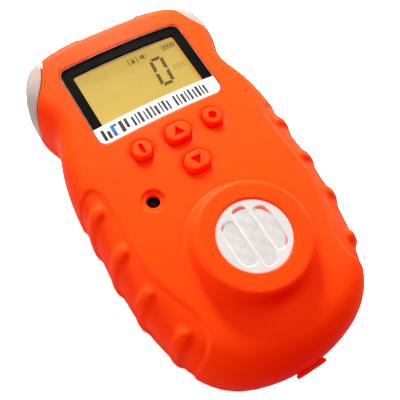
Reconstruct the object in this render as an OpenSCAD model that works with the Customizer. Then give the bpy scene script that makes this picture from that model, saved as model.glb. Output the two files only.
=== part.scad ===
// Portable single-gas detector, lying on its back: +Z is out of the display face,
// +Y points to the display end, and the origin is at the centre of the rear face.

/* [Body] */
// Length of the case from end to end
body_len = 110; // [106:1:114]
// Width of the case at the grips
body_w = 65; // [64:0.5:67]
// Height of the crowned front face above the rear face
face_z = 31; // [30.5:0.25:32]
// Height of the joint between the front and rear covers
part_z = 12; // [11.75:0.25:12.25]
// Wall thickness of both covers
wall = 2.2; // [2:0.1:2.4]
// Radius of the crown across the front face
crown_r = 160; // [140:5:200]
// Thickness of the flat gasket between the covers
gasket_t = 0.5; // [0.4:0.1:0.6]

/* [Sensor] */
// Distance of the sensor axis below the middle of the case
sensor_drop = 23.6; // [23:0.2:24]
// Diameter of the sensor cell
sensor_d = 20.2; // [20:0.1:20.4]
// Diameter of the raised ring that a calibration cup fits over
boss_d = 30.4; // [30:0.1:31]
// Height of the raised ring above the face
boss_h = 5.5; // [5.25:0.25:6]
// Diameter of the opening in the raised ring
cap_d = 18.6; // [18:0.1:19]

/* [Display] */
// Width of the display window
window_w = 37.4; // [37:0.2:38]
// Length of the display window along the case
window_l = 26.5; // [26:0.25:27]
// Distance of the window's middle above the middle of the case
window_rise = 31; // [30.75:0.25:31.25]
// Length of the name plate at the window's lower edge
plate_l = 5.5; // [5:0.25:6]

/* [Keys] */
// Distance of the key row above the middle of the case
key_row = 11.2; // [10.8:0.2:11.4]
// Distance of the lower key above the middle of the case
low_key = 1.6; // [1.4:0.2:2]
// Distance from the middle key to each outer key
key_pitch = 10.6; // [10.4:0.1:11]
// Diameter of a round key
key_d = 5.6; // [5.4:0.1:5.8]
// Width of an oval key
key_w = 7.4; // [7.2:0.1:7.6]
// Travel of each key
key_travel = 0.6; // [0.4:0.1:0.7]

/* [Clip] */
// Width of the belt clip
clip_w = 18; // [16:0.5:20]
// Distance of the clip's hinge above the middle of the case
clip_hinge = 16; // [14:1:18]
// Depth of the clip's hinge below the rear face
clip_drop = 4.2; // [4.2:0.1:4.6]

/* [Hidden] */
$fn = 48;
gap = 0.08;
sensor_at = [0, -sensor_drop];
boss_top = face_z + boss_h;
window_recess = 0.4;
lens_t = 1.2;
board_t = 1.6;
main_z = 12.6;
display_z = 20.6;
board_top = display_z + board_t;
key_spots = [[-key_pitch, key_row], [0, key_row], [0, low_key], [key_pitch, key_row]];
screw_spots = [[-22.3, 41], [22.3, 41], [-20.5, -38], [20.5, -38]];
sounder_at = [-14.9, -2];

// ---- Outline of the case, as control points of a closed cubic B-spline ----
// Each station is a share of half the width and of half the length, from the
// display end round the right side to the lower end.
stations = [
    [0, 1], [0.43, 1], [0.785, 0.965], [0.91, 0.81], [0.925, 0.665], [0.8, 0.555], [0.955, 0.385],
    [0.985, 0.11], [1.005, -0.235], [0.94, -0.59], [0.71, -0.89], [0.325, -0.985], [0, -1.01]];
steps_per_span = 3;
right_side = [for (s = stations) [s.x * body_w / 2, s.y * body_len / 2]];
control = concat(right_side, [for (i = [len(stations) - 2:-1:1]) [-right_side[i].x, right_side[i].y]]);
spans = len(control);
ring_n = spans * steps_per_span;

function spline(i, t) = (control[(i + spans - 1) % spans] * pow(1 - t, 3)
    + control[i] * (3 * pow(t, 3) - 6 * pow(t, 2) + 4)
    + control[(i + 1) % spans] * (-3 * pow(t, 3) + 3 * pow(t, 2) + 3 * t + 1)
    + control[(i + 2) % spans] * pow(t, 3)) / 6;
outline = [for (i = [0:spans - 1], j = [0:steps_per_span - 1]) spline(i, j / steps_per_span)];
normals = [for (i = [0:ring_n - 1])
    let (t = outline[(i + 1) % ring_n] - outline[(i + ring_n - 1) % ring_n]) [-t.y, t.x] / norm(t)];

// Outline moved in by d.
function inset(d) = [for (i = [0:ring_n - 1]) outline[i] - normals[i] * d];

// Height of the crowned face at x, for a surface d below it.
function face_at(x, d = 0) = face_z - d - (crown_r - sqrt(crown_r * crown_r - x * x));

// How far the rounded front edge runs in from the side: short at the display
// end and long at the lower end.
edge_run_top = 6;
edge_run_low = 14;
edge_power = 2.9;
function edge_run(y) = let (t = min(1, max(0, (0.36 * body_len / 2 - y) / (1.27 * body_len / 2))))
    edge_run_top + (edge_run_low - edge_run_top) * pow(t, 1.3);

function front_ring(phi, d) = [for (i = [0:ring_n - 1])
    let (
        p = outline[i] - normals[i] * (d + edge_run(outline[i].y) * (1 - pow(cos(phi), 2 / edge_power))),
        z = part_z + (face_at(p.x, d) - part_z) * pow(sin(phi), 2 / edge_power)
    ) [p.x, p.y, z]];
function crown_ring(share, d) = let (edge = front_ring(90, d))
    [for (p = edge) [p.x * share, p.y, face_at(p.x * share, d)]];
function front_rings(d, foot) = concat([[for (p = inset(d)) [p.x, p.y, foot]]],
    [for (phi = [12, 30, 50, 68, 80, 90]) front_ring(phi, d)], [for (s = [0.7, 0.35]) crown_ring(s, d)]);

rear_run = 7;
rear_power = 2.4;
function rear_ring(phi, d, top) = [for (i = [0:ring_n - 1])
    let (p = outline[i] - normals[i] * (d + rear_run * (1 - pow(cos(phi), 2 / rear_power))))
    [p.x, p.y, top - (top - d) * pow(sin(phi), 2 / rear_power)]];
function rear_rings(d, top) = [for (phi = [90, 66, 42, 18, 0]) rear_ring(phi, d, top)];

// Closed solid through a stack of rings, each mirror-symmetric about x = 0.
module loft(rings) {
    last = len(rings) - 1;
    half = ring_n / 2;
    sides = [for (k = [0:last - 1], i = [0:ring_n - 1], second = [0, 1])
        let (a = k * ring_n + i, b = k * ring_n + (i + 1) % ring_n)
        second == 0 ? [a, b, a + ring_n] : [b, b + ring_n, a + ring_n]];
    foot = [for (i = [0:half - 1]) let (l = (ring_n - i) % ring_n, m = ring_n - i - 1)
        if (i == 0) [0, m, 1] else if (i == half - 1) [i, l, i + 1] else [i, l, m, i + 1]];
    top = [for (f = foot) [for (j = [len(f) - 1:-1:0]) f[j] + last * ring_n]];
    polyhedron([for (r = rings) each r], concat(sides, foot, top));
}

module rounded(w, l, r) {
    for (s = [-1, 1], t = [-1, 1]) translate([s * (w / 2 - r), t * (l / 2 - r)]) circle(r);
    square([w - 2 * r, l], center = true);
    square([w, l - 2 * r], center = true);
}

// Everything below a crowned surface d under the front face.
module under_crown(d) {
    translate([0, 0, face_z - d - crown_r]) rotate([90, 0, 0]) cylinder(r = crown_r, h = 2 * body_len,
        center = true, $fn = 360);
}

module key_shape(k, grow) {
    if (k == 0 || k == 3) circle((key_d + grow) / 2);
    else rounded(key_w + grow, key_d + grow, (key_d + grow) / 2 - 0.01);
}

// ---- Case ----
lens_cut_at = [44, 56.3];
lens_cut_r = 24;
top_lens_w = 19.6;
top_lens_y = 51.6;
port_z = 15.4;
port_y = -body_len / 2;

module corner_cut(side, grow) {
    translate([side * lens_cut_at.x, lens_cut_at.y, part_z - 5]) cylinder(r = lens_cut_r + grow, h = 40, $fn = 96);
}
module top_cut(grow) {
    w = top_lens_w / 2 + grow;
    translate([-w, top_lens_y - grow, part_z - 5]) cube([2 * w, 20, 40]);
}

// Solid swept along a path, with a radius at each point. The path stays clear
// of the direction up.
sweep_sides = 8;
module sweep(path, radii, up) {
    last = len(path) - 1;
    dirs = [for (i = [0:last]) let (d = path[min(last, i + 1)] - path[max(0, i - 1)]) d / norm(d)];
    rings = [for (i = [0:last], s = [0:sweep_sides - 1])
        let (
            side = cross(dirs[i], up),
            v = side / norm(side),
            w = cross(dirs[i], v),
            a = 360 * (s + 0.5) / sweep_sides
        ) path[i] + radii[i] * (cos(a) * v + sin(a) * w)];
    walls = [for (i = [0:last - 1], s = [0:sweep_sides - 1], second = [0, 1])
        let (a = i * sweep_sides + s, b = i * sweep_sides + (s + 1) % sweep_sides)
        second == 0 ? [a, a + sweep_sides, b] : [b, a + sweep_sides, b + sweep_sides]];
    polyhedron(rings, concat(walls, [[for (s = [0:sweep_sides - 1]) s]],
        [[for (s = [sweep_sides - 1:-1:0]) last * sweep_sides + s]]));
}

// Grip ribs: four down each side wall, standing a little proud of it.
rib_ys = [3.5, -8.5, -20.5, -33.2];
rib_r = 2.6;
rib_proud = 0.7;
side_xs = [for (p = outline) if (p.x > 1) [p.y, p.x]];
function side_point(y, phi, d) = let (x = lookup(y, side_xs) - d
        - edge_run(y) * (1 - pow(cos(phi), 2 / edge_power)))
    [x, y, part_z + (face_at(x, d) - part_z) * pow(sin(phi), 2 / edge_power)];
module rib(side, y) {
    path = [for (phi = [2, 14, 28, 42, 54, 63, 70]) let (p = side_point(y, phi, rib_r - rib_proud))
        [side * p.x, y, p.z]];
    sweep(path, [1.2, 2.3, rib_r, rib_r, rib_r, 2.1, 0.8], [0, 1, 0]);
}

// Half section of the raised ring: a rounded top edge, a straight wall that a
// calibration cup slides over, and a fillet that dies out in the crowned face.
ring_edge = 1.2;
ring_fillet = 1.5;
ring_foot = face_at(boss_d / 2 + ring_fillet) + ring_fillet;
module ring_profile() {
    r = boss_d / 2;
    difference() {
        translate([0, face_z - wall]) square([r, boss_h + wall]);
        translate([r - ring_edge, boss_top - ring_edge]) difference() {
            square(2 * ring_edge);
            circle(ring_edge);
        }
    }
    difference() {
        translate([r - 0.5, face_z - wall]) square([ring_fillet + 0.5, ring_foot - face_z + wall]);
        translate([r + ring_fillet, ring_foot]) circle(ring_fillet);
    }
}

module front_cover() color("orangered") {
    bore_d = sensor_d + 0.8;
    difference() {
        union() {
            difference() {
                union() {
                    loft(front_rings(0, part_z + gasket_t / 2));
                    for (side = [-1, 1], y = rib_ys) rib(side, y);
                }
                loft(front_rings(wall, part_z - 3));
            }
            translate([sensor_at.x, sensor_at.y, 0]) rotate_extrude($fn = 96) ring_profile();
            translate([sensor_at.x, sensor_at.y, face_z - 12]) cylinder(d = bore_d + 3.2, h = 12);
            for (s = screw_spots) translate([s.x, s.y, part_z + 1])
                cylinder(r = 2.8, h = (s.y > 0 ? face_z - 4 : face_z - 8.5) - part_z);
        }
        translate([sensor_at.x, sensor_at.y, 0]) {
            cylinder(d = bore_d, h = boss_top - 1.6);
            cylinder(d = cap_d, h = boss_top + 1);
        }
        difference() {
            translate([0, window_rise, face_z - 6]) linear_extrude(12) rounded(window_w + 0.2, window_l + 0.2, 2.5);
            under_crown(window_recess + lens_t + 0.1);
        }
        translate([0, window_rise + 0.6, face_z - 8]) linear_extrude(12) rounded(34.6, 23.4, 1.5);
        for (k = [0:3]) translate([key_spots[k].x, key_spots[k].y, face_z - 6])
            linear_extrude(12) key_shape(k, 0.4);
        translate([sounder_at.x, sounder_at.y, face_z - 8]) cylinder(d = 3.6, h = 12);
        translate([sounder_at.x, sounder_at.y, face_at(15) - 0.6]) cylinder(d = 5.8, h = 4);
        for (side = [-1, 1]) corner_cut(side, 0);
        top_cut(0);
        translate([0, port_y, port_z]) rotate([90, 0, 0]) linear_extrude(16, center = true) rounded(8.4, 3.8, 1.2);
        for (s = screw_spots) translate([s.x, s.y, 0]) cylinder(r = 1.2, h = 21);
    }
}

// Shallow recess in the back, below the clip, that takes an inspection label.
label_w = 28;
label_l = 20;
label_y = -32;
label_depth = 0.3;

module rear_cover() color("orangered") {
    top = part_z - gasket_t / 2;
    difference() {
        union() {
            difference() {
                loft(rear_rings(0, top));
                loft(rear_rings(wall, top + 1));
            }
            for (s = screw_spots) translate([s.x, s.y, 1.8]) cylinder(r = 3.6, h = top - 2);
            for (y = clip_screw_y) translate([0, y, 0.5]) cylinder(r = 3.2, h = 2.4);
        }
        for (s = screw_spots) translate([s.x, s.y, -1]) {
            cylinder(r = 2.4, h = 4);
            cylinder(r = 1.4, h = part_z + 2);
        }
        for (y = clip_screw_y) translate([0, y, -1]) cylinder(r = 1.2, h = 6);
        translate([0, label_y, -1]) linear_extrude(1 + label_depth) rounded(label_w, label_l, 2);
    }
}

module case_gasket() color("dimgray") {
    translate([0, 0, part_z - gasket_t / 2 + 0.02]) linear_extrude(gasket_t - 0.04) difference() {
        polygon(inset(0.7));
        polygon(inset(1.9));
    }
}

module case_screws() color("silver") for (s = screw_spots) translate([s.x, s.y, 1.2]) difference() {
    union() {
        cylinder(r = 2.1, h = 1.7);
        cylinder(r = 1.15, h = 16);
    }
    for (a = [0, 90]) rotate(a) translate([-1.3, -0.25, -1]) cube([2.6, 0.5, 1.8]);
}

// ---- Alarm lenses, cut from the same skin as the front cover ----
module lens_skin() difference() {
    loft(front_rings(0, part_z + gasket_t / 2));
    loft(front_rings(wall, part_z - 3));
}
module corner_lens(side) color("whitesmoke", 0.6) intersection() {
    lens_skin();
    corner_cut(side, -gap);
}
module left_alarm_lens() corner_lens(-1);
module right_alarm_lens() corner_lens(1);
module top_alarm_lens() color("whitesmoke", 0.6) intersection() {
    lens_skin();
    top_cut(-gap);
}

// ---- Display ----
module crowned_sheet(d, t) intersection() {
    translate([0, 0, face_z - 6]) linear_extrude(12) children();
    difference() {
        under_crown(d);
        under_crown(d + t);
    }
}

module window_lens() color("lightcyan", 0.4)
    crowned_sheet(window_recess, lens_t - 0.14) translate([0, window_rise]) rounded(window_w, window_l, 2.4);

module window_mask() color("black")
    crowned_sheet(window_recess + lens_t - 0.12, 0.12) difference() {
        translate([0, window_rise]) rounded(window_w - 0.2, window_l - 0.2, 2.3);
        translate([0, window_rise + 0.9]) rounded(31.4, 18.8, 0.8);
    }

module name_plate() color("white")
    crowned_sheet(window_recess - 0.17, 0.15) intersection() {
        translate([0, window_rise]) rounded(window_w, window_l, 2.4);
        translate([0, window_rise - window_l / 2 + plate_l / 2]) square([window_w + 1, plate_l], center = true);
    }

lcd_z = 26;
lcd_w = 33.6;
lcd_l = 22.8;
lcd_y = window_rise + 0.6;
module lcd_glass() color("khaki") translate([-lcd_w / 2, lcd_y - lcd_l / 2, lcd_z]) cube([lcd_w, lcd_l, 1.8]);
module lcd_backlight() color("lightyellow")
    translate([-15, lcd_y - 9.5, lcd_z - 2.1]) cube([30, 19, 2]);
module lcd_frame() color("gainsboro") translate([0, lcd_y, board_top]) difference() {
    linear_extrude(lcd_z + 1.7 - board_top) rounded(36, 25.6, 1);
    translate([0, 0, -1]) linear_extrude(20) square([lcd_w + 0.2, lcd_l + 0.2], center = true);
}
module zebra_strip() color("pink")
    translate([-15, lcd_y + 9.8, board_top + 0.02]) cube([30, 1.3, lcd_z - board_top - 0.04]);
module display_board() color("darkgreen") translate([0, 0, display_z]) linear_extrude(board_t) {
    translate([-18.2, 5]) square([36.4, 43]);
    translate([-6, -3]) square([12, 9]);
}
module alarm_leds() color("mistyrose") for (s = [[-16.4, 46.2], [0, 46.2], [16.4, 46.2]])
    translate([s.x, s.y, board_top]) {
        cylinder(d = 2.4, h = 1.4);
        translate([0, 0, 1.4]) sphere(d = 2.2);
    }

// ---- Keys: cap in the cover, flange under it, stem down to the switch ----
flange_z = 27.2;
stem_z = board_top + 2.65;
web_z = 25.5;
module key_body(k) color("tomato") translate([key_spots[k].x, key_spots[k].y, 0]) {
    lift = face_at(key_spots[k].x);
    difference() {
        union() {
            translate([0, 0, flange_z + 0.4]) linear_extrude(lift + 1 - flange_z - 0.4) key_shape(k, 0);
            translate([0, 0, lift + 0.98]) linear_extrude(0.42) key_shape(k, -0.7);
            translate([0, 0, flange_z]) linear_extrude(0.8) key_shape(k, 1.6);
            translate([0, 0, stem_z]) cylinder(d = 2.6, h = flange_z - stem_z + 0.2);
        }
        translate([0, 0, lift + 1.1]) linear_extrude(1) key_sign(k);
    }
}
module key_sign(k) {
    if (k == 0) square([0.7, 2.4], center = true);
    if (k == 1) polygon([[-1.1, -0.8], [1.1, -0.8], [0, 1.1]]);
    if (k == 2) polygon([[-1.1, 0.8], [1.1, 0.8], [0, -1.1]]);
    if (k == 3) difference() { circle(1.1); circle(0.5); }
}
module power_key() key_body(0);
module up_key() key_body(1);
module down_key() key_body(2);
module enter_key() key_body(3);
module keypad_web() color("coral") translate([0, 0, web_z]) linear_extrude(0.8) difference() {
    union() {
        translate([-16, key_row - 4]) square([32, 8]);
        translate([-6, low_key - 4]) square([12, 10]);
    }
    for (s = key_spots) translate(s) circle(d = 3.1);
}
module key_switches() color("dimgray") for (s = key_spots) translate([s.x, s.y, board_top]) difference() {
    linear_extrude(1.8) rounded(4.6, 4.6, 0.5);
    translate([0, 0, 0.6]) cylinder(d = 2.1, h = 2);
}
module plunger(k) color("black") translate([key_spots[k].x, key_spots[k].y, board_top + 1.25])
    cylinder(d = 1.9, h = stem_z - board_top - 1.27);
module power_plunger() plunger(0);
module up_plunger() plunger(1);
module down_plunger() plunger(2);
module enter_plunger() plunger(3);

// ---- Boards ----
module board_header() color("dimgray")
    translate([-7.6, 43.4, main_z + board_t]) cube([15.2, 2.4, display_z - main_z - board_t]);
post_spots = [[-19.6, 18], [19.6, 18]];
module main_board() color("seagreen") translate([0, 0, main_z]) linear_extrude(board_t) difference() {
    union() {
        translate([-23.5, -37]) square([47, 83]);
        translate([-9, -50.8]) square([18, 16]);
    }
    for (s = screw_spots) translate(s) circle(3.2);
    for (s = post_spots) translate(s) circle(1.1);
    for (side = [-1, 1]) translate([side * 26, 41]) circle(6);
    for (side = [-1, 1]) translate([side * 24, -38]) circle(7);
}
module board_screws() color("silver") for (s = post_spots) translate([s.x, s.y, main_z - 1.22]) {
    cylinder(r = 1.9, h = 1.2);
    cylinder(r = 1, h = 6);
}
module processor_chips() color("black") {
    translate([-5, 8, main_z + board_t + 0.02]) cube([10, 10, 1.4]);
    translate([-14, 24, main_z + board_t + 0.02]) cube([5, 4, 1.2]);
    translate([8, 26, main_z + board_t + 0.02]) cube([6, 5, 1.2]);
    translate([-17, -30, main_z + board_t + 0.02]) cube([4, 3, 1]);
}

// ---- Gas sensor ----
cap_flange_z = boss_top - 2.7;
slot_w = 3.5;
slot_rib = 1.15;
slot_pitch = slot_w + slot_rib;
side_slot_l = 11.6;
module sensor_cap() color("white") translate([sensor_at.x, sensor_at.y, cap_flange_z]) difference() {
    union() {
        cylinder(d = sensor_d + 0.6, h = 1.06);
        cylinder(d = cap_d - 0.2, h = 2.2);
    }
    intersection() {
        translate([0, 0, -1]) cylinder(d = cap_d - 2.8, h = 5);
        union() {
            translate([-slot_w / 2, -cap_d / 2, -1]) cube([slot_w, cap_d, 5]);
            for (side = [-1, 1]) translate([side * slot_pitch - slot_w / 2, -side_slot_l / 2, -1])
                cube([slot_w, side_slot_l, 5]);
        }
    }
}
module sensor_filter() color("ivory")
    translate([sensor_at.x, sensor_at.y, cap_flange_z - 0.34]) cylinder(d = 14, h = 0.3);
module sensor_gasket() color("orangered")
    translate([sensor_at.x, sensor_at.y, cap_flange_z - 1.24]) difference() {
        cylinder(d = sensor_d, h = 0.88);
        translate([0, 0, -1]) cylinder(d = sensor_d - 8.2, h = 3);
    }
sensor_top = cap_flange_z - 1.26;
sensor_h = 16.4;
pin_ring = 6.75;
module sensor_cell() color("lightgray") translate([sensor_at.x, sensor_at.y, sensor_top - sensor_h]) {
    difference() {
        cylinder(d = sensor_d, h = sensor_h);
        translate([0, 0, sensor_h - 0.6]) cylinder(d = 12, h = 2);
    }
    for (a = [30, 150, 270]) rotate(a) translate([pin_ring, 0, -1.5]) cylinder(d = 1.2, h = 1.7);
}
module sensor_sockets() color("gold") for (a = [30, 150, 270])
    translate([sensor_at.x, sensor_at.y, main_z + board_t]) rotate(a) translate([pin_ring, 0, 0.02]) difference() {
        cylinder(d = 2.8, h = 1.7);
        translate([0, 0, 0.1]) cylinder(d = 1.34, h = 3);
    }

// ---- Alarms ----
module sounder() color("black") translate([sounder_at.x, sounder_at.y, main_z + board_t + 0.02]) difference() {
    cylinder(d = 12, h = 9);
    translate([0, 0, 7]) cylinder(d = 2.4, h = 4);
}
module sounder_boot() color("black")
    translate([sounder_at.x, sounder_at.y, main_z + board_t + 9.1]) difference() {
        union() {
            cylinder(d = 7, h = 4);
            cylinder(d = 3.4, h = 5.9);
        }
        translate([0, 0, -1]) cylinder(d = 2.4, h = 6.3);
    }
motor_at = [20.5, -12, main_z + board_t + 4.2];
module motor_can() color("silver") translate(motor_at) rotate([-90, 0, 0]) difference() {
    cylinder(d = 7, h = 12);
    translate([0, 0, -1]) cylinder(r = 0.56, h = 14);
}
module motor_shaft() color("gray") translate(motor_at + [0, 1, 0]) rotate([-90, 0, 0]) cylinder(r = 0.5, h = 15);
module motor_weight() color("dimgray") translate(motor_at + [0, 12.5, 0]) rotate([-90, 0, 0]) difference() {
    union() {
        cylinder(r = 1.3, h = 3.4);
        intersection() {
            cylinder(r = 3.4, h = 3.4);
            translate([-4, 0, 0]) cube([8, 4, 3.4]);
        }
    }
    translate([0, 0, -1]) cylinder(r = 0.5, h = 6);
}

// ---- Power ----
module battery_cell() color("steelblue") translate([0, 14, wall + 1.2]) {
    linear_extrude(7.8) rounded(32, 46, 2);
}
lead_r = 0.55;
lead_bend = 1.5;
lead_z = 9;
module battery_leads() for (side = [-1, 1]) color(side < 0 ? "black" : "red") translate([side * 1.6, -10, 0]) {
    translate([0, 0.98, lead_z]) rotate([90, 0, 0]) cylinder(r = lead_r, h = 0.98);
    translate([0, 0, lead_z + lead_bend]) rotate([0, 90, 180])
        rotate_extrude(angle = 90) translate([lead_bend, 0]) circle(lead_r);
    translate([0, -lead_bend, lead_z + lead_bend]) cylinder(r = lead_r, h = main_z - lead_z - lead_bend - 0.02);
}
module charge_socket() color("silver") translate([0, port_y + 1.4, main_z + board_t + 0.02]) difference() {
    translate([-3.75, 0, 0]) cube([7.5, 5.6, 2.7]);
    translate([-3.35, -1, 0.4]) cube([6.7, 5.4, 1.9]);
}
module port_plug() color("orangered") translate([0, port_y - 0.1, port_z]) rotate([90, 0, 0]) {
    linear_extrude(1) rounded(8.6, 4.4, 1.7);
    translate([0, 0, -1.3]) linear_extrude(1.4) rounded(7.8, 3.2, 1.1);
    translate([0, 0, -2.4]) linear_extrude(1.2) rounded(6.2, 0.9, 0.4);
}

// ---- Belt clip ----
clip_screw_y = [clip_hinge - 13, clip_hinge + 9];
sheet = 1;
ear_r = 2.5;
pin_r = 1.2;
hinge_at = [0, clip_hinge, -clip_drop];
lever_w = clip_w - 2 * sheet - 0.8;
lever_gap = 3.55;

// A sheet-metal ear round the hinge, with a neck that runs neck_l up (1) or down (-1).
module ear(x, bore_r, way, neck_l) translate([x, hinge_at.y, hinge_at.z]) rotate([0, 90, 0]) difference() {
    union() {
        cylinder(r = ear_r, h = sheet);
        translate([way > 0 ? -neck_l : 0, -ear_r, 0]) cube([neck_l, 2 * ear_r, sheet]);
    }
    translate([0, 0, -1]) cylinder(r = bore_r, h = 3);
}
module clip_base() color("silver") difference() {
    union() {
        translate([-clip_w / 2, clip_hinge - 29, -sheet]) cube([clip_w, 43, sheet]);
        for (x = [-clip_w / 2, clip_w / 2 - sheet]) ear(x, pin_r + 0.03, 1, clip_drop - 0.5);
    }
    for (y = clip_screw_y) translate([0, y, -2]) cylinder(r = 1.4, h = 3);
}
module clip_screws() color("gray") for (y = clip_screw_y) translate([0, y, 0]) {
    translate([0, 0, -sheet - 1]) cylinder(r = 2.2, h = 0.98);
    translate([0, 0, -sheet - 0.2]) cylinder(r = 1.1, h = 4.2);
}

// Centre line of the lever's sheet, from the thumb pad to the lip of the jaw,
// measured from the hinge.
lever_line = [[17, -4.5], [14, -4.5], [10, -4.1], [5, -3.6], [-3, -3.6], [-10, -4.2], [-15, -4], [-19.4, -2.9],
    [-22.8, -1], [-25, 1.2], [-26.6, 2.5], [-28, 2.4], [-29, 1.7]];
function line_side(line, d) = [for (i = [0:len(line) - 1])
    let (t = line[min(len(line) - 1, i + 1)] - line[max(0, i - 1)]) line[i] + d * [-t.y, t.x] / norm(t)];
module clip_lever() color("silver") {
    upper = line_side(lever_line, -sheet / 2);
    lower = line_side(lever_line, sheet / 2);
    translate([-lever_w / 2, hinge_at.y, hinge_at.z]) rotate([90, 0, 90]) linear_extrude(lever_w)
        polygon(concat(upper, [for (i = [len(lower) - 1:-1:0]) lower[i]]));
    for (x = [-lever_w / 2, lever_w / 2 - sheet]) ear(x, pin_r + 0.07, -1, lever_gap);
}
module clip_pin() color("gray") translate([-clip_w / 2, hinge_at.y, hinge_at.z]) rotate([0, 90, 0]) {
    translate([0, 0, -0.7]) cylinder(r = pin_r, h = clip_w + 1.4);
    translate([0, 0, -0.7]) cylinder(r = 1.9, h = 0.66);
    translate([0, 0, clip_w + 0.04]) cylinder(r = 1.9, h = 0.66);
}

// Torsion spring: a coil round the pin, with one leg under the base and one on the lever.
wire_r = 0.35;
coil_r = 2;
coil_turns = 5;
coil_half = 4;
coil_end = 360 * coil_turns + 180;
coil = concat(
    [[-coil_half, 8, clip_drop - sheet - wire_r - 0.05]],
    [for (a = [0:20:coil_end]) [(2 * a / coil_end - 1) * coil_half, -coil_r * sin(a), coil_r * cos(a)]],
    [[coil_half, 8, -3]]);
module clip_spring() color("gray") translate(hinge_at) sweep(coil, [for (p = coil) wire_r], [1, 0, 0]);

front_cover();
rear_cover();
case_gasket();
case_screws();
left_alarm_lens();
right_alarm_lens();
top_alarm_lens();
window_lens();
window_mask();
name_plate();
lcd_glass();
lcd_backlight();
lcd_frame();
zebra_strip();
display_board();
alarm_leds();
keypad_web();
power_key();
up_key();
down_key();
enter_key();
key_switches();
power_plunger();
up_plunger();
down_plunger();
enter_plunger();
board_header();
main_board();
board_screws();
processor_chips();
sensor_cap();
sensor_filter();
sensor_gasket();
sensor_cell();
sensor_sockets();
sounder();
sounder_boot();
motor_can();
motor_shaft();
motor_weight();
battery_cell();
battery_leads();
charge_socket();
port_plug();
clip_base();
clip_screws();
clip_lever();
clip_pin();
clip_spring();
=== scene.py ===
"""Looks of the portable gas detector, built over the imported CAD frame.

Shapes are written as signed distance fields in millimetres, negative inside, and turned
into meshes here. Each piece rides on the CAD body that it belongs to.
"""
import math
from functools import reduce
import bpy
import numpy as np
from mathutils import Matrix, Vector


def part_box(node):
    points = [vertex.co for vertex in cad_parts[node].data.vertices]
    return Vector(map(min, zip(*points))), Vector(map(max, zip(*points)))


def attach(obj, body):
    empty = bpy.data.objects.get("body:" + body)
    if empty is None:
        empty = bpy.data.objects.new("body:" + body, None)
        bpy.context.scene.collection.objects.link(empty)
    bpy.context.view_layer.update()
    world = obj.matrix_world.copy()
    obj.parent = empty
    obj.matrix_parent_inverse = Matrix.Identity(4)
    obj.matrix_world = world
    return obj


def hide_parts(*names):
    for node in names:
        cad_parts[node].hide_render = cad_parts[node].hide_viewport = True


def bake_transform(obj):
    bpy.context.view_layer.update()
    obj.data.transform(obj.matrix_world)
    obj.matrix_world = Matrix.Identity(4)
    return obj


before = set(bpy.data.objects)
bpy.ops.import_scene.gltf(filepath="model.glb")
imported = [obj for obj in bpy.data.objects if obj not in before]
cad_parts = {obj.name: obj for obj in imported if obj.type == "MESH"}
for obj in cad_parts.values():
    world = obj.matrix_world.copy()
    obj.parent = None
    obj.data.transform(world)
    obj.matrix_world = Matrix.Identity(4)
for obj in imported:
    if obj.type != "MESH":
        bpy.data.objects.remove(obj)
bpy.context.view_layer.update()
MM = 0.001
COARSER = 1.0
FACE_LIMIT = 184000
F = np.float32


def box_mm(node):
    """Lowest and highest corners of a CAD node, in millimetres."""
    return [np.array(corner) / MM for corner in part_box(node)]


def mid_mm(node):
    """Centre of a CAD node's box, in millimetres."""
    low, high = box_mm(node)
    return (low + high) / 2


# ---- dimensions
rear_low, rear_high = box_mm("rear_cover")
front_low, front_high = box_mm("front_cover")
BOSS_TOP = float(front_high[2])
RING_HEIGHT = 5.5
FACE_Z = BOSS_TOP - RING_HEIGHT
SEAM_LOW, SEAM_HIGH = float(rear_high[2]), float(front_low[2])
PART_Z = (SEAM_LOW + SEAM_HIGH) / 2
CROWN_R, WALL, FIT_GAP = 160, 2.2, 0.08
EDGE_POWER, REAR_POWER = 2.9, 2.4
RUN_TOP, RUN_LOW, REAR_RUN = 6, 14, 7
CASE_SCREWS = [(-22.3, 41), (22.3, 41), (-20.5, -38), (20.5, -38)]
POST_R, PILOT_R, PILOT_TOP = 2.8, 1.2, 21
TOWER_R, HEAD_WELL_R, HEAD_WELL_TOP, SHANK_HOLE_R = 3.6, 2.4, 3, 1.4
LABEL_Y, LABEL = -32, (14, 10, 2)    # half width, half length, corner radius

cap_low, cap_high = box_mm("sensor_cap")
SENSOR = mid_mm("sensor_cap")[:2]
CAP_Z, CAP_TOP, CAP_R = float(cap_low[2]), float(cap_high[2]), 9.22
FLANGE_R, FLANGE_HALF = (cap_high[0] - cap_low[0]) / 2, 0.53
RING_TOP_R, RING_DRAFT, RING_ROUND = 14.5, 0.16, 1.5
BORE_R, CAP_HOLE_R, TUBE_R, TUBE_LOW = 10.5, 9.3, 12.1, 19

win_low, win_high = box_mm("window_lens")
WINDOW_Y = float(mid_mm("window_lens")[1])
WINDOW_HALF_W, WINDOW_HALF_L = (win_high - win_low)[:2] / 2
WINDOW_ROUND, POCKET_DEPTH, POCKET_GAP = 2.4, 1.8, 0.16
WINDOW_DROP, WINDOW_T, EDGE_LINE = 0.14, 1.2, 0.16
OPENING_Y, OPENING = 31.95, (15.7, 9.1, 0.8)
SHELF_Y, SHELF = WINDOW_Y + 0.6, (17.3, 11.7, 1.5)

KEYS = ["power", "up", "down", "enter"]
KEY_AT = [mid_mm(key + "_key")[:2] for key in KEYS]
KEY_R, KEY_SLIM, KEY_RISE, KEY_TAPER, SIGN_DEPTH = 2.8, 0.02, 1.6, 0.13, 1.1
KEY_HALF = [0, 0.9, 0.9, 0]
DISH_DEPTH, DISH_REACH, DISH_EASE = 0.26, 1.45, 1.15

boot_low, boot_high = box_mm("sounder_boot")
SOUND = mid_mm("sounder_boot")[:2]
SOUND_HOLE, SOUND_DISH, SOUND_DEPTH = 1.8, 2.9, 0.65

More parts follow.
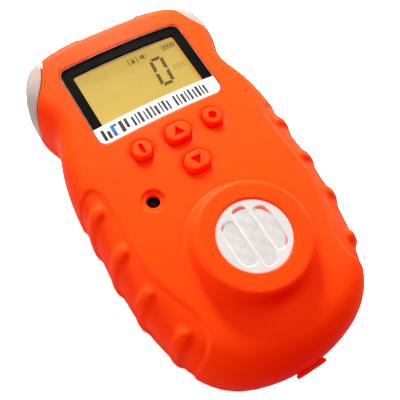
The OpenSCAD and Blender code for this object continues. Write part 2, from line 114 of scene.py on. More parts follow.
LENS_AT, LENS_R, LENS_BULGE = (44, 56.3), 24, 0.7
TOP_LENS_HALF, TOP_LENS_Y, TOP_LENS_ROUND, LENS_GAP = 9.8, 50.3, 1.6, 0.26
FLUTE_DEPTH, FLUTE_PITCH = 0.28, 1.5

plug_low, plug_high = box_mm("port_plug")
PORT_Z = float(mid_mm("port_plug")[2])
PORT, PORT_BACK = (4.2, 1.9, 1.2), -47

RIB_Y = [2.7, -9.3, -21.3, -34]
RIB_HEAD = [28.3, 28, 27.8, 25.4]
RIB_PITCH, RIB_SLANT, RIB_LEAN, RIB_LENGTH = 12, 0.22, 0.1, 12
RIB_TOP, RIB_SWELL, RIB_FLANK = 1, 0.3, 1.1
RIB_PROUD, RIB_FADE, RIB_FADE_OVER = 0.5, 0.55, 3.6
GRIP_DEPTH, GRIP_EDGE, GRIP_FOOT, SCALLOP = 0.55, 1.5, 3.6, 0.25

clip_low, clip_high = box_mm("clip_base")
lever_low, lever_high = box_mm("clip_lever")
HINGE_Y, HINGE_Z = (float(v) for v in mid_mm("clip_pin")[1:])
CLIP_SCREW_Y = [HINGE_Y - 13, HINGE_Y + 9]


# ---- field helpers
def ramp(t):
    """0 to 1, easing at both ends."""
    t = np.clip(t, 0, 1)
    return t * t * (3 - 2 * t)


def both(*parts):
    """Space that lies in every part."""
    return reduce(np.maximum, parts)


def either(*parts):
    """Space that lies in any part."""
    return reduce(np.minimum, parts)


def smin(a, b, k):
    """Union with a blend k wide."""
    return -smax(-a, -b, k)


def smax(a, b, k):
    """Intersection with a blend k wide."""
    h = np.maximum(k - np.abs(a - b), 0)
    return np.maximum(a, b) + h * h / (4 * k)


def cut(a, b, k):
    """What is left of a once b is taken out, with edges k wide."""
    return smax(a, -b, k)


def fillet_join(a, b, r):
    """Union with a circular fillet of radius r."""
    return np.maximum(r, np.minimum(a, b)) - np.hypot(np.maximum(r - a, 0), np.maximum(r - b, 0))


def between(v, low, high):
    return np.maximum(low - v, v - high)


def away(x, y, at):
    """Distance from a point of the plane."""
    return np.hypot(x - at[0], y - at[1])


def slab2(x, y, half_x, half_y, r):
    """Rounded rectangle about the origin."""
    qx, qy = np.abs(x) - (half_x - r), np.abs(y) - (half_y - r)
    return np.hypot(np.maximum(qx, 0), np.maximum(qy, 0)) + np.minimum(np.maximum(qx, qy), 0) - r


def segment(x, y, ax, ay, bx, by):
    """Distance to a line segment, and the share of the way along it."""
    dx, dy = bx - ax, by - ay
    t = np.clip(((x - ax) * dx + (y - ay) * dy) / (dx * dx + dy * dy), 0, 1)
    return np.hypot(x - ax - t * dx, y - ay - t * dy), t


def polyline(x, y, points):
    """Distance to an open line through points, and how far along it, in mm."""
    best, along, start = np.inf, 0.0, 0.0
    for a, b in zip(points[:-1], points[1:]):
        d, t = segment(x, y, *a, *b)
        length = math.dist(a, b)
        along = np.where(d < best, start + t * length, along)
        best = np.minimum(d, best)
        start += length
    return best, along


# ---- outline and lookup grids
GRID = 0.5
GRID_X, GRID_Y = 40.0, 60.0


def curve(control, per_span, basis):
    """Points along a smooth curve. basis gives the powers of t as sums of four control points."""
    t = (np.arange(per_span) / per_span)[:, None]
    weights = np.hstack([t ** 0, t, t ** 2, t ** 3]) @ np.array(basis)
    control = np.array(control, float)
    return np.vstack([weights @ control[i:i + 4] for i in range(len(control) - 3)])


def spline(loop, per_span):
    """Closed cubic B-spline round a loop of control points."""
    basis = np.array([[1, 4, 1, 0], [-3, 0, 3, 0], [3, -6, 3, 0], [-1, 3, -3, 1]]) / 6
    return curve([loop[-1]] + loop + loop[:2], per_span, basis)


def smooth_line(points, per_span):
    """Smooth open curve that passes through points."""
    basis = np.array([[0, 2, 0, 0], [-1, 0, 1, 0], [2, -5, 4, -1], [-1, 3, -3, 1]]) / 2
    ends = [points[0]] + points + [points[-1]]
    return np.vstack([curve(ends, per_span, basis), points[-1:]])


def loop_grid(loop):
    """Signed distance to a closed loop, positive inside, and the y of the nearest point."""
    gx = np.arange(-GRID_X, GRID_X + GRID / 2, GRID)
    gy = np.arange(-GRID_Y, GRID_Y + GRID / 2, GRID)
    px, py = (v.ravel() for v in np.meshgrid(gx, gy, indexing="ij"))
    best, foot, inside = np.inf, 0.0, np.zeros(px.shape, bool)
    for (ax, ay), (bx, by) in zip(loop, np.roll(loop, -1, axis=0)):
        d, t = segment(px, py, ax, ay, bx, by)
        foot = np.where(d < best, ay + t * (by - ay), foot)
        best = np.minimum(d, best)
        if ay != by:
            inside ^= ((ay > py) != (by > py)) & (px < ax + (py - ay) * (bx - ax) / (by - ay))
    signed = best * np.where(inside, 1, -1)
    return [v.reshape(len(gx), len(gy)).astype(F) for v in (signed, foot)]


def look(grid, x, y):
    """Value of a lookup grid at x, y."""
    fx = np.clip((x + GRID_X) / GRID, 0, grid.shape[0] - 1.001)
    fy = np.clip((y + GRID_Y) / GRID, 0, grid.shape[1] - 1.001)
    i, j = fx.astype(np.int32), fy.astype(np.int32)
    u, v = fx - i, fy - j
    flat, n = grid.ravel(), grid.shape[1]
    a, b, c, d = (flat[i * n + j + step] for step in (0, 1, n, n + 1))
    return (a * (1 - v) + b * v) * (1 - u) + (c * (1 - v) + d * v) * u


# Shares of half the width and half the length, down the right side.
STATIONS = [
    (0, 1), (0.43, 1), (0.785, 0.965), (0.91, 0.81), (0.925, 0.665), (0.8, 0.555), (0.955, 0.385),
    (0.985, 0.11), (1.005, -0.235), (0.94, -0.59), (0.71, -0.89), (0.325, -0.985), (0, -1.01)]
outline = spline(STATIONS + [(-x, y) for x, y in STATIONS[-2:0:-1]], 16)
outline[:, 0] *= float(rear_high[0]) / outline[:, 0].max()
outline[:, 1] = np.interp(outline[:, 1], [outline[:, 1].min(), outline[:, 1].max()],
                          [rear_low[1], rear_high[1]])
INSET, foot_y = loop_grid(outline)
# The rounding of the front runs wider from RUN_FROM down to the low end.
RUN_FROM, RUN_OVER = 19.8, 69.85
RUN = (RUN_TOP + (RUN_LOW - RUN_TOP) * np.clip((RUN_FROM - foot_y) / RUN_OVER, 0, 1) ** 1.3).astype(F)

# Grip panel on the right side, run out past the silhouette.
GRIP_LINE = [
    (52, 2), (40, 3.2), (34.5, 5.0), (31.4, 8.0), (28.0, 9.7), (25.2, 8.2), (24.2, 4.2), (24.3, -6),
    (24.4, -16), (22.3, -23.8), (19.6, -31.5), (19.6, -36.8), (21.9, -40.5), (26.5, -43.2),
    (34, -45.5), (52, -47)]
GRIP, _ = loop_grid(smooth_line(GRIP_LINE, 8))


# ---- case covers
def crown(x, drop=0.0):
    """Height of the crowned face, or of a surface drop below it."""
    return FACE_Z - drop - (CROWN_R - np.sqrt(CROWN_R ** 2 - np.minimum(x * x, 2000)))


def skin(x, y, z):
    """Distance from the plain outer skin of the case."""
    front = z > PART_Z
    depth = np.where(front, crown(x) - PART_Z, PART_Z)
    run = np.where(front, look(RUN, x, y), REAR_RUN)
    power = np.where(front, EDGE_POWER, REAR_POWER).astype(F)
    u = np.maximum(1 - look(INSET, x, y) / run, 0)
    v = np.abs(z - PART_Z) / depth
    g = (u ** power + v ** power) ** (1 / power)
    safe = np.maximum(g, 1e-3)
    slope = np.hypot((u / safe) ** (power - 1) / run, (v / safe) ** (power - 1) / depth)
    return (g - 1) / np.maximum(slope, 1e-3)


def case_skin(x, y, z):
    """Outer skin with the recessed grip panels and their ribs. Returns it and the plain skin."""
    plain = skin(x, y, z)
    ax = np.abs(x)
    grip = look(GRIP, ax, y)
    weight = ramp(np.minimum(grip, (z - GRIP_FOOT) * 0.7) / GRIP_EDGE)
    wave = 0.5 - 0.5 * np.cos(2 * np.pi * (y - RIB_Y[0]) / RIB_PITCH)
    out = plain + weight * (GRIP_DEPTH + SCALLOP * wave * ramp((grip - 2) / 3))
    leaning = y + RIB_LEAN * np.maximum(27 - z, 0)
    for y0, head in zip(RIB_Y, RIB_HEAD):
        d, t = segment(ax, leaning, head, y0, head + RIB_LENGTH, y0 - RIB_LENGTH * RIB_SLANT)
        proud = RIB_PROUD - RIB_FADE * ramp((ax - head) / RIB_FADE_OVER)
        flank = d - RIB_TOP - RIB_SWELL * ramp(2 * t) - RIB_FLANK * (proud - plain)
        rib = smax(plain - proud, flank / math.hypot(1, RIB_FLANK), 0.45)
        rib = smax(rib, GRIP_FOOT + 0.8 - z, 1.0)
        out = smin(out, rib, 0.7)
    return out, plain


def key_shape(k, x, y):
    """Distance from the outline of key k at its foot."""
    cx, cy = KEY_AT[k]
    return np.hypot(np.maximum(np.abs(x - cx) - KEY_HALF[k], 0), y - cy) - KEY_R


def window_plan(x, y, grow=0.0):
    return slab2(x, y - WINDOW_Y, WINDOW_HALF_W + grow, WINDOW_HALF_L + grow, WINDOW_ROUND)


def top_lens_plan(x, y):
    return smax(np.abs(x) - TOP_LENS_HALF, TOP_LENS_Y - y, TOP_LENS_ROUND)


def front_cover(x, y, z):
    out, plain = case_skin(x, y, z)
    for k in range(len(KEYS)):
        dish = DISH_DEPTH * ramp((DISH_REACH - key_shape(k, x, y)) / DISH_EASE)
        out = out + np.where(z > FACE_Z - 6, dish, 0)
    r = away(x, y, SENSOR)
    ring = smax(r - RING_TOP_R - RING_DRAFT * (BOSS_TOP - z), z - BOSS_TOP, RING_ROUND)
    shell = cut(fillet_join(out, ring, RING_ROUND), plain + WALL, 0.3)
    shell = either(shell, both(r - TUBE_R, between(z, TUBE_LOW, FACE_Z - 0.5)))
    for at in CASE_SCREWS:
        top = FACE_Z - (4 if at[1] > 0 else 8.5)
        post = away(x, y, at)
        shell = either(shell, both(post - POST_R, between(z, PART_Z + 1, top)))
        shell = both(shell, -both(post - PILOT_R, z - PILOT_TOP))
    shell = cut(shell, both(r - BORE_R, z - BOSS_TOP + 1.6), 0.1)
    shell = cut(shell, both(r - CAP_HOLE_R, BOSS_TOP - 2.2 - z), 0.35)
    shell = cut(shell, both(window_plan(x, y, POCKET_GAP), crown(x, POCKET_DEPTH) - z), 0.3)
    shell = cut(shell, both(slab2(x, y - SHELF_Y, *SHELF), FACE_Z - 8 - z), 0.2)
    for k in range(len(KEYS)):
        shell = cut(shell, both(key_shape(k, x, y) - FIT_GAP, FACE_Z - 6 - z), 0.3)
    sound = away(x, y, SOUND)
    shell = cut(shell, smax(sound - SOUND_DISH, crown(SOUND[0], SOUND_DEPTH) - z, 0.3), 0.5)
    shell = cut(shell, both(sound - SOUND_HOLE, FACE_Z - 8 - z), 0.25)
    shell = cut(shell, away(np.abs(x), y, LENS_AT) - LENS_R, 0.25)
    shell = cut(shell, top_lens_plan(x, y), 0.25)
    shell = cut(shell, both(slab2(x, z - PORT_Z, *PORT), y - PORT_BACK), 0.3)
    return smax(shell, SEAM_HIGH - z, 0.45)


def rear_cover(x, y, z):
    out, plain = case_skin(x, y, z)
    shell = cut(out, plain + WALL, 0.3)
    for at in CASE_SCREWS:
        shell = either(shell, both(away(x, y, at) - TOWER_R, between(z, 1.8, SEAM_LOW - 0.25)))
    for sy in CLIP_SCREW_Y:
        shell = either(shell, both(away(x, y, (0, sy)) - 3.2, between(z, 0.5, 2.9)))
    for at in CASE_SCREWS:
        tower = away(x, y, at)
        shell = cut(shell, both(tower - HEAD_WELL_R, z - HEAD_WELL_TOP), 0.4)
        shell = both(shell, SHANK_HOLE_R - tower)
    for sy in CLIP_SCREW_Y:
        shell = both(shell, -both(away(x, y, (0, sy)) - PILOT_R, z - 5))
    shell = cut(shell, both(slab2(x, y - LABEL_Y, *LABEL), z - 0.3), 0.2)
    return smax(shell, z - SEAM_LOW, 0.45)


# ---- alarm lenses
def lens_wall(x, y, z, around, bulge):
    """Shell under the skin, standing a little proud of it and fluted on its inner side."""
    plain = skin(x, y, z)
    flutes = FLUTE_DEPTH * (0.5 + 0.5 * np.cos(2 * np.pi * around / FLUTE_PITCH))
    shell = cut(plain - bulge, plain + WALL - flutes, 0.25)
    return smax(shell, SEAM_HIGH - z, 0.3)


def corner_lens(x, y, z):
    ax = np.abs(x)
    around = np.arctan2(y - 42.0, ax - 18.0) * 13.0
    edge = away(ax, y, LENS_AT) - LENS_R + LENS_GAP
    return smax(lens_wall(x, y, z, around, LENS_BULGE * ramp(-edge / 4)), edge, 0.45)


def top_lens(x, y, z):
    return smax(lens_wall(x, y, z, x, 0.0), top_lens_plan(x, y) + LENS_GAP, 0.25)


# ---- keys
def triangle(x, y, way):
    """Triangle with its point towards +y (1) or -y (-1)."""
    y = y * way
    side = (np.abs(x) * 2.1 + (y - 1.5) * 1.25) / math.hypot(2.1, 1.25)
    return smax(side, -1.05 - y, 0.15)


def key_sign(key, u, v):
    """Sign sunk in the top of a key: a bar, a triangle or a wavy dot."""
    if key == "power":
        return slab2(u, v, 0.55, 1.5, 0.4)
    if key == "enter":
        return np.hypot(u, v) - 1.15 - 0.12 * np.cos(6 * np.arctan2(v, u))
    return triangle(u, v, 1 if key == "up" else -1)


def key_cap(k):
    cx, cy = KEY_AT[k]
    face = float(crown(cx))
    web_low, web_high, stem_low = 27.2, 28, 24.85

    def field(x, y, z):
        foot = key_shape(k, x, y)
        u, v = x - cx, y - cy
        side = foot + KEY_SLIM + KEY_TAPER * np.clip(z - face + 0.8, 0, 2)
        dome = 0.004 * (u * u + v * v)
        body = smax(side, z + dome - face - KEY_RISE, 0.5)
        body = both(body, web_low + 0.2 - z)
        flange = slab2(foot + 6, z - (web_low + web_high) / 2, 6.8, 0.4, 0.15)
        stem = both(np.hypot(u, v) - 1.3, between(z, stem_low, web_high - 0.2))
        sign = smax(key_sign(KEYS[k], u, v), face + KEY_RISE - SIGN_DEPTH - z, 0.15)
        return either(cut(body, sign, 0.15), flange, stem)

    return field


# ---- sensor and sounder
SLOT_HALF, SLOT_PITCH, SLOT_LENGTH, SIDE_SLOT = 1.75, 4.65, 7.8, 5.8
PAD_R, PAD_TOP = 8.3, 35.65
FILTER_R, FILTER_Z, FILTER_HALF = 7.55, 34.62, 1.1
FILTER_AT = SENSOR - (0.35, 0.4)
SEAL_R, SEAL_Z, SEAL_HALF = 7.6, 34.5, 1


def sensor_cap(x, y, z):
    """Grille with three slots between two ribs, and a recess below for the filter."""
    u, v = x - SENSOR[0], y - SENSOR[1]
    r = np.hypot(u, v)
    body = slab2(r, z - (CAP_TOP - 3), CAP_R, 3.08, 0.25)
    flange = slab2(r, z - (CAP_Z + FLANGE_HALF), FLANGE_R, FLANGE_HALF, 0.15)
    body = either(both(body, CAP_Z - z), flange)
    body = cut(body, both(r - PAD_R - 0.1, z - PAD_TOP - 0.05), 0.1)
    wave = 0.1 * np.sin(v * 1.15 + 0.6)
    centre = slab2(u - wave, v, SLOT_HALF, SLOT_LENGTH, 1.2)
    side = slab2(np.abs(u) - SLOT_PITCH - 0.06 * np.sin(v * 1.3), v, SLOT_HALF, SIDE_SLOT, 0.9)
    return cut(body, either(centre, smax(side, r - SLOT_LENGTH, 0.8)), 0.55)


def membrane(x, y, z):
    wrinkle = 0.05 * np.sin(x * 1.9) * np.sin(y * 1.5 + 1)
    return smax(away(x, y, FILTER_AT) - FILTER_R, np.abs(z - FILTER_Z - wrinkle) - FILTER_HALF, 0.35)


def pad_seal(x, y, z):
    """Soft ring that holds the filter disc up against the cap."""
    ring = both(away(x, y, SENSOR) - PAD_R, SEAL_R - away(x, y, FILTER_AT))
    return smax(ring, np.abs(z - SEAL_Z) - SEAL_HALF, 0.25)


def sound_dome(x, y, z):
    """Rubber boot with a round-topped neck that stands in the sounder's port."""
    r = away(x, y, SOUND)
    low, high = float(boot_low[2]), float(boot_high[2])
    flange = slab2(r, z - low - 2, 3.5, 2, 0.5)
    neck = both(np.hypot(r, np.maximum(z - (high - 2.3), 0)) - 1.66, low - z)
    hollow = both(both(r, z - low - 2.6 + r) - 1.2, low - 1 - z)
    return both(smin(flange, neck, 0.3), -hollow)


# ---- window
SHEET_T, BORDER_MID, BORDER_HALF = 0.4, 0.84, 0.4


def window_opening(x, y):
    return slab2(x, y - OPENING_Y, *OPENING)


def window_depth(x, z):
    """Depth below the window's outer face."""
    return crown(x, WINDOW_DROP) - z


def window_glass(x, y, z):
    """Clear sheet with a thicker pad that fills the opening in the border."""
    depth = window_depth(x, z)
    sheet = smax(window_plan(x, y) + EDGE_LINE, between(depth, 0, SHEET_T), 0.1)
    pad = smax(window_opening(x, y) + FIT_GAP, between(depth, 0, WINDOW_T), 0.1)
    return either(sheet, pad)


def window_edge(x, y, z):
    """Edge band of the sheet, which shows as a thin pale line: a painted highlight where the edge catches
    the light.
    """
    plan = window_plan(x, y)
    return smax(both(plan, -plan - EDGE_LINE), between(window_depth(x, z), 0, SHEET_T), 0.1)


def window_border(x, y, z):
    """Opaque border under the sheet."""
    plan = cut(window_plan(x, y, -0.03), window_opening(x, y), 0.1)
    return smax(plan, np.abs(window_depth(x, z) - BORDER_MID) - BORDER_HALF, 0.1)


# ---- port cover
# Half width, half height and corner radius of each step of the plug.
LID, BLOCK, TONGUE, PULL = (4.3, 2.2, 1.6), (3.9, 1.6, 1.0), (3.1, 0.45, 0.3), (1.6, 0.45, 0.4)


def port_cover(x, y, z):
    """Lid with a pull slot, the block that fills the port's mouth, and the tongue behind it."""
    face, back = float(plug_low[1]), float(plug_high[1])
    w = z - PORT_Z
    lid = smax(slab2(x, w, *LID), between(y, face, face + 1), 0.45)
    lid = cut(lid, both(slab2(x, w - 1.0, *PULL), y - face - 0.25), 0.25)
    block = smax(slab2(x, w, *BLOCK), between(y, face + 0.8, face + 2.4), 0.3)
    tongue = smax(slab2(x, w, *TONGUE), between(y, back - 1.6, back), 0.3)
    return either(lid, block, tongue)


# ---- belt clip
EAR_R, PIN_R, SHEET_HALF = 2.5, 1.2, 0.5
LEVER_HALF = float(lever_high[0])
# Side view of the lever's middle line, as y and z from the hinge.
LEVER_LINE = [(17, -4.5), (14, -4.5), (10, -4.1), (5, -3.6), (-3, -3.6), (-10, -4.2), (-15, -4),
              (-19.4, -2.9), (-22.8, -1), (-25, 1.2), (-26.6, 2.5), (-28, 2.4), (-29, 1.7)]
BEAD, BEAD_HALF, BEAD_FROM, BEAD_TO = 0.35, 3.2, 11, 30
GROOVE, GROOVE_PITCH, GROOVE_HALF, GROOVE_END = 0.28, 1.6, 0.45, 8.2


def ears(x, y, z, way, neck, half_x):
    """Pair of hinge ears at the sides, with necks up (1) or down (-1)."""
    v, w = y - HINGE_Y, (z - HINGE_Z) * way
    round_part = np.hypot(v, w) - EAR_R
    neck_part = both(np.abs(v) - EAR_R, between(w, 0, neck))
    return smax(either(round_part, neck_part), between(np.abs(x), half_x - 1, half_x), 0.3)


def clip_plate(x, y, z):
    """Plate screwed to the back, with a window and two ears."""
    plan = slab2(x, y - (clip_low[1] + clip_high[1]) / 2, clip_high[0], (clip_high[1] - clip_low[1]) / 2, 2)
    for sy in CLIP_SCREW_Y:
        plan = both(plan, SHANK_HOLE_R - away(x, y, (0, sy)))
    plan = cut(plan, slab2(x, y + 4.5, 4.5, 4, 1.5), 0.2)
    plate = smax(plan, between(z, -1, 0), 0.3)
    body = smin(plate, ears(x, y, z, 1, -HINGE_Z - SHEET_HALF, clip_high[0]), 0.5)
    return smax(body, PIN_R + 0.03 - away(y, z, (HINGE_Y, HINGE_Z)), 0.1)


def clip_lever(x, y, z):
    """Bent sheet lever with a stiffening bead, thumb grooves and two ears."""
    line = [(HINGE_Y + a, HINGE_Z + b) for a, b in LEVER_LINE]
    d, along = polyline(y, z, line)
    total = sum(math.dist(a, b) for a, b in zip(line[:-1], line[1:]))
    ax = np.abs(x)
    plan = slab2(x, along - total / 2, LEVER_HALF, total / 2 + 0.45, 3)
    bead = BEAD * ramp(1 - ax / BEAD_HALF) * ramp((along - BEAD_FROM) / 2) * ramp((BEAD_TO - along) / 2)
    phase = np.abs(along % GROOVE_PITCH - GROOVE_PITCH / 2)
    grooves = GROOVE * ramp(1 - phase / GROOVE_HALF) * ramp((GROOVE_END - along) / 0.6)
    grooves = grooves * ramp((LEVER_HALF - 1.6 - ax) / 0.5)
    outside = z < HINGE_Z - 3.9
    sheet = smax(d - SHEET_HALF + np.where(outside, grooves - bead, bead), plan, 0.3)
    body = smin(sheet, ears(x, y, z, -1, 3.55, LEVER_HALF), 0.4)
    return smax(body, PIN_R + 0.07 - away(y, z, (HINGE_Y, HINGE_Z)), 0.1)


# ---- screws
THREAD_PITCH, THREAD_DEPTH, RECESS_HALF, RECESS_DEPTH = 0.8, 0.16, 0.27, 0.95


def screw(head_r, head_low, head_high, shank_r, tip, cross):
    """Screw about the z axis with a cross recess in its lower, outer end."""
    def field(x, y, z):
        r = np.hypot(x, y)
        mid, half = (head_low + head_high) / 2, (head_high - head_low) / 2
        head = slab2(r, z - mid, head_r, half, min(0.3, half * 0.8))
        head = smax(head, head_low + 0.03 * r * r - z, 0.15)
        turn = (z / THREAD_PITCH - np.arctan2(y, x) / (2 * np.pi)) % 1.0
        thread = THREAD_DEPTH * np.abs(2 * turn - 1) * ramp((z - head_high) / 0.6)
        point = np.maximum(z - tip + 1.2, 0) * 0.6
        shank = both(r - shank_r + thread + point, between(z, head_low + 0.2, tip))
        arms = either(slab2(x, y, cross, RECESS_HALF, 0.1), slab2(x, y, RECESS_HALF, cross, 0.1))
        recess = both(arms + 0.22 * (z - head_low), z - head_low - RECESS_DEPTH)
        return cut(either(head, shank), recess, 0.12)
    return field


# ---- fields to meshes
EDGES = [(a, b) for a in range(8) for b in range(a + 1, 8) if bin(a ^ b).count("1") == 1]
CORNERS = np.array(list(np.ndindex(2, 2, 2)))
STRIDE = 4
CHUNK = 400000


def sample(field, p):
    """Field at an N by 3 array of points, in chunks."""
    out = np.empty(len(p), F)
    for start in range(0, len(p), CHUNK):
        out[start:start + CHUNK] = field(*p[start:start + CHUNK].T)
    return out


def gradient(field, p, h):
    """The field at each point, and its direction of steepest rise."""
    base = sample(field, p)
    rises = [sample(field, p + F(h) * axis) - base for axis in np.eye(3, dtype=F)]
    return base, np.stack(rises, 1) / F(h)


def settle(field, p, step, rounds):
    """Moves points on to the surface."""
    for _ in range(rounds):
        base, g = gradient(field, p, 0.2 * step)
        size = np.maximum((g * g).sum(1), 0.25)
        move = -(base / size)[:, None] * g
        length = np.linalg.norm(move, axis=1, keepdims=True)
        p = p + move * np.minimum(1, 0.6 * step / np.maximum(length, 1e-9))
    return p.astype(F)


def surface(field, low, high, step):
    """Vertices and quads of the field's zero surface within a box, by surface nets."""
    blocks = np.ceil((high - low) / (step * STRIDE)).astype(int)
    n = blocks * STRIDE + 1
    axes = [(low[a] + (np.arange(blocks[a]) + 0.5) * STRIDE * step).astype(F) for a in range(3)]
    centres = np.stack([v.ravel() for v in np.meshgrid(*axes, indexing="ij")], 1)
    value = sample(field, centres).reshape(blocks)
    # Only blocks near the surface are sampled finely; the rest keep the sign of their centre.
    near = np.abs(value) < STRIDE * step * 0.87 * 1.35 + 0.15
    grid = np.kron(np.where(value < 0, -1.0, 1.0), np.ones((STRIDE,) * 3))
    grid = np.pad(grid.astype(F), ((0, 1),) * 3, mode="edge")
    mask = np.zeros(n, bool)
    for shift in np.ndindex((STRIDE + 1,) * 3):
        mask[tuple(slice(s, s + STRIDE * b, STRIDE) for s, b in zip(shift, blocks))] |= near
    spots = np.argwhere(mask)
    grid[mask] = sample(field, (low + spots * step).astype(F))
    inside = grid < 0
    count = np.zeros(n - 1, np.int8)
    for c in CORNERS:
        count += inside[tuple(slice(s, s + size - 1) for s, size in zip(c, n))]
    cells = np.argwhere((count > 0) & (count < 8))
    ids = np.full(n - 1, -1, np.int32)
    ids[tuple(cells.T)] = np.arange(len(cells))
    corner = np.stack([grid[tuple((cells + c).T)] for c in CORNERS], 1)
    total = np.zeros((len(cells), 3), F)
    hits = np.zeros(len(cells), F)
    for a, b in EDGES:
        va, vb = corner[:, a], corner[:, b]
        cross = (va < 0) != (vb < 0)
        t = np.where(cross, va / np.where(cross, va - vb, 1), 0)[:, None]
        spot = CORNERS[a] * (1 - t) + CORNERS[b] * t
        total += np.where(cross[:, None], spot, 0)
        hits += cross
    verts = low + (cells + total / hits[:, None]) * step
    quads = []
    for a in range(3):
        b, c = (a + 1) % 3, (a + 2) % 3
        first = [slice(1, size - 1) for size in n]
        second = list(first)
        first[a], second[a] = slice(0, n[a] - 1), slice(1, n[a])
        change = inside[tuple(first)].astype(np.int8) - inside[tuple(second)].astype(np.int8)
        spots = np.argwhere(change != 0)
        way = change[tuple(spots.T)]
        side_b, side_c = np.eye(3, dtype=int)[[b, c]]
        shifts = (0 * side_b, side_b, side_b + side_c, side_c)
        ring = np.stack([ids[tuple((spots + shift).T)] for shift in shifts], 1)
        ring[way < 0] = ring[way < 0][:, ::-1]
        quads.append(ring)
    return settle(field, verts.astype(F), step, 2), np.vstack(quads)


def link(obj):
    bpy.context.scene.collection.objects.link(obj)
    return obj


def mesh_object(name, verts, faces, smooth):
    """Object from vertices in millimetres and the corners of faces, the first few of them smooth."""
    mesh = bpy.data.meshes.new(name)
    mesh.from_pydata((np.array(verts) * MM).tolist(), [], faces)
    mesh.polygons.foreach_set("use_smooth", np.arange(len(faces)) < smooth)
    mesh.validate()
    return link(bpy.data.objects.new(name, mesh))


def coordinates(mesh):
    """A mesh's vertices, in millimetres."""
    co = np.empty(len(mesh.vertices) * 3, F)
    mesh.vertices.foreach_get("co", co)
    return co.reshape(-1, 3) / F(MM)


def carve(name, field, low, high, step, limit=FACE_LIMIT):
    """Object from a field: surface, thinning to the face limit, settling, exact normals."""
    step = step * COARSER
    verts, quads = surface(field, np.array(low) - 1.5 * step, np.array(high) + 1.5 * step, step)
    obj = mesh_object(name, verts, quads.tolist(), len(quads))
    if 2 * len(quads) > limit:
        thin = obj.modifiers.new("thin", "DECIMATE")
        thin.ratio = limit / (2 * len(quads))
        evaluated = obj.evaluated_get(bpy.context.evaluated_depsgraph_get())
        mesh = bpy.data.meshes.new_from_object(evaluated)
        obj.modifiers.clear()
        obj.data = mesh
        verts = settle(field, coordinates(mesh), step, 1)
        mesh.vertices.foreach_set("co", (verts * F(MM)).ravel())
        mesh.polygons.foreach_set("use_smooth", np.ones(len(mesh.polygons), bool))
        mesh.update()
    _, g = gradient(field, coordinates(obj.data), 0.25 * step)
    g /= np.maximum(np.linalg.norm(g, axis=1, keepdims=True), 1e-6)
    obj.data.normals_split_custom_set_from_vertices(g)
    obj.data.name = name
    return obj


def copies(obj, places):
    """Joins copies of obj's mesh at several places into one object of its name."""
    name, verts = obj.name, coordinates(obj.data)
    faces = np.array([p.vertices[:] for p in obj.data.polygons])
    bpy.data.objects.remove(obj)
    all_verts = np.vstack([verts + np.array(p, F) for p in places])
    all_faces = np.vstack([faces + i * len(verts) for i in range(len(places))])
    return mesh_object(name, all_verts, all_faces.tolist(), len(all_faces))


# ---- materials
class Paint:
    """A material, or the world, being wired up: its node tree, coordinates and shader."""

    def __init__(self, name, shader="BsdfPrincipled", world=None, **inputs):
        coordinate, output = ("Generated", "OutputWorld") if world else ("Object", "OutputMaterial")
        self.owner = world or bpy.data.materials.new(name)
        self.owner.use_nodes = True
        self.tree = self.owner.node_tree
        self.tree.nodes.clear()
        self.coord = self.node("TexCoord").outputs[coordinate]
        self.shader = self.node(shader, **inputs)
        self.put(self.node(output).inputs["Surface"], self.shader.outputs[0])

    def put(self, socket, value):
        """Links a socket to a node's output, or sets its value. Colours come without alpha."""
        if isinstance(value, bpy.types.NodeSocket):
            self.tree.links.new(value, socket)
        elif socket.type == "RGBA":
            socket.default_value = (*value, 1)
        else:
            socket.default_value = value

    def put_all(self, node, *values):
        for socket, value in zip(node.inputs, values):
            self.put(socket, value)

    def fill(self, node, **values):
        """Sets a node's properties and inputs by name."""
        for key, value in values.items():
            if hasattr(node, key):
                setattr(node, key, value)
            else:
                self.put(node.inputs[key.replace("_", " ")], value)
        return node

    def node(self, kind, **values):
        return self.fill(self.tree.nodes.new("ShaderNode" + kind), **values)

    def done(self, base, rough, grain, **inputs):
        """Fills a principled shader and returns its material."""
        self.fill(self.shader, Base_Color=base, Roughness=self.varied(*rough),
                  Normal=self.grain(*grain), **inputs)
        return self.owner

    def noise(self, scale, detail=3, stretch=None):
        """Noise over the coordinates, stretched along some axes if asked."""
        at = self.coord
        if stretch:
            at = self.node("Mapping", Scale=stretch, Vector=at).outputs["Vector"]
        return self.node("TexNoise", Scale=scale, Detail=detail, Vector=at).outputs["Fac"]

    def spread(self, value, low, high, start=0.3, end=0.7):
        """Stretches start to end out to low to high."""
        return self.node("MapRange", Value=value, From_Min=start, From_Max=end,
                         To_Min=low, To_Max=high).outputs["Result"]

    def varied(self, low, high, *noise):
        """A value that wanders from low to high."""
        return self.spread(self.noise(*noise), low, high)

    def mix(self, factor, a, b, mode="MIX"):
        n = self.node("Mix", data_type="RGBA", blend_type=mode)
        for i, value in ((0, factor), (6, a), (7, b)):
            self.put(n.inputs[i], value)
        return n.outputs[2]

    def math(self, operation, *values):
        n = self.node("Math", operation=operation)
        self.put_all(n, *values)
        return n.outputs[0]

    def grain(self, scale, strength, distance, stretch=None, **under):
        """Bump normal from fine noise, over another one if given."""
        bump = self.node("Bump", Strength=strength, Distance=distance,
                         Height=self.noise(scale, 2, stretch), **under)
        return bump.outputs["Normal"]

    def hollows(self, distance, start, end):
        """0 deep in a crease, 1 on an open face; used to paint shade into creases."""
        found = self.node("AmbientOcclusion", samples=6, Distance=distance).outputs["AO"]
        return self.spread(found, 0, 1, start, end)

    def ray(self, kind):
        """1 for a ray of that kind, otherwise 0."""
        return self.node("LightPath").outputs[f"Is {kind} Ray"]


def make(name, low, high, rough=(0.4, 0.5), scale=150, fine=4000, bump=0.15, stretch=None, **inputs):
    """Principled material whose colour, roughness and normal all come from noise."""
    p = Paint(name, **inputs)
    base = p.mix(p.varied(0, 1, scale, 4, stretch), low, high)
    return p.done(base, (*rough, scale * 2.3, 3, stretch), (fine, bump, 0.00005, stretch))


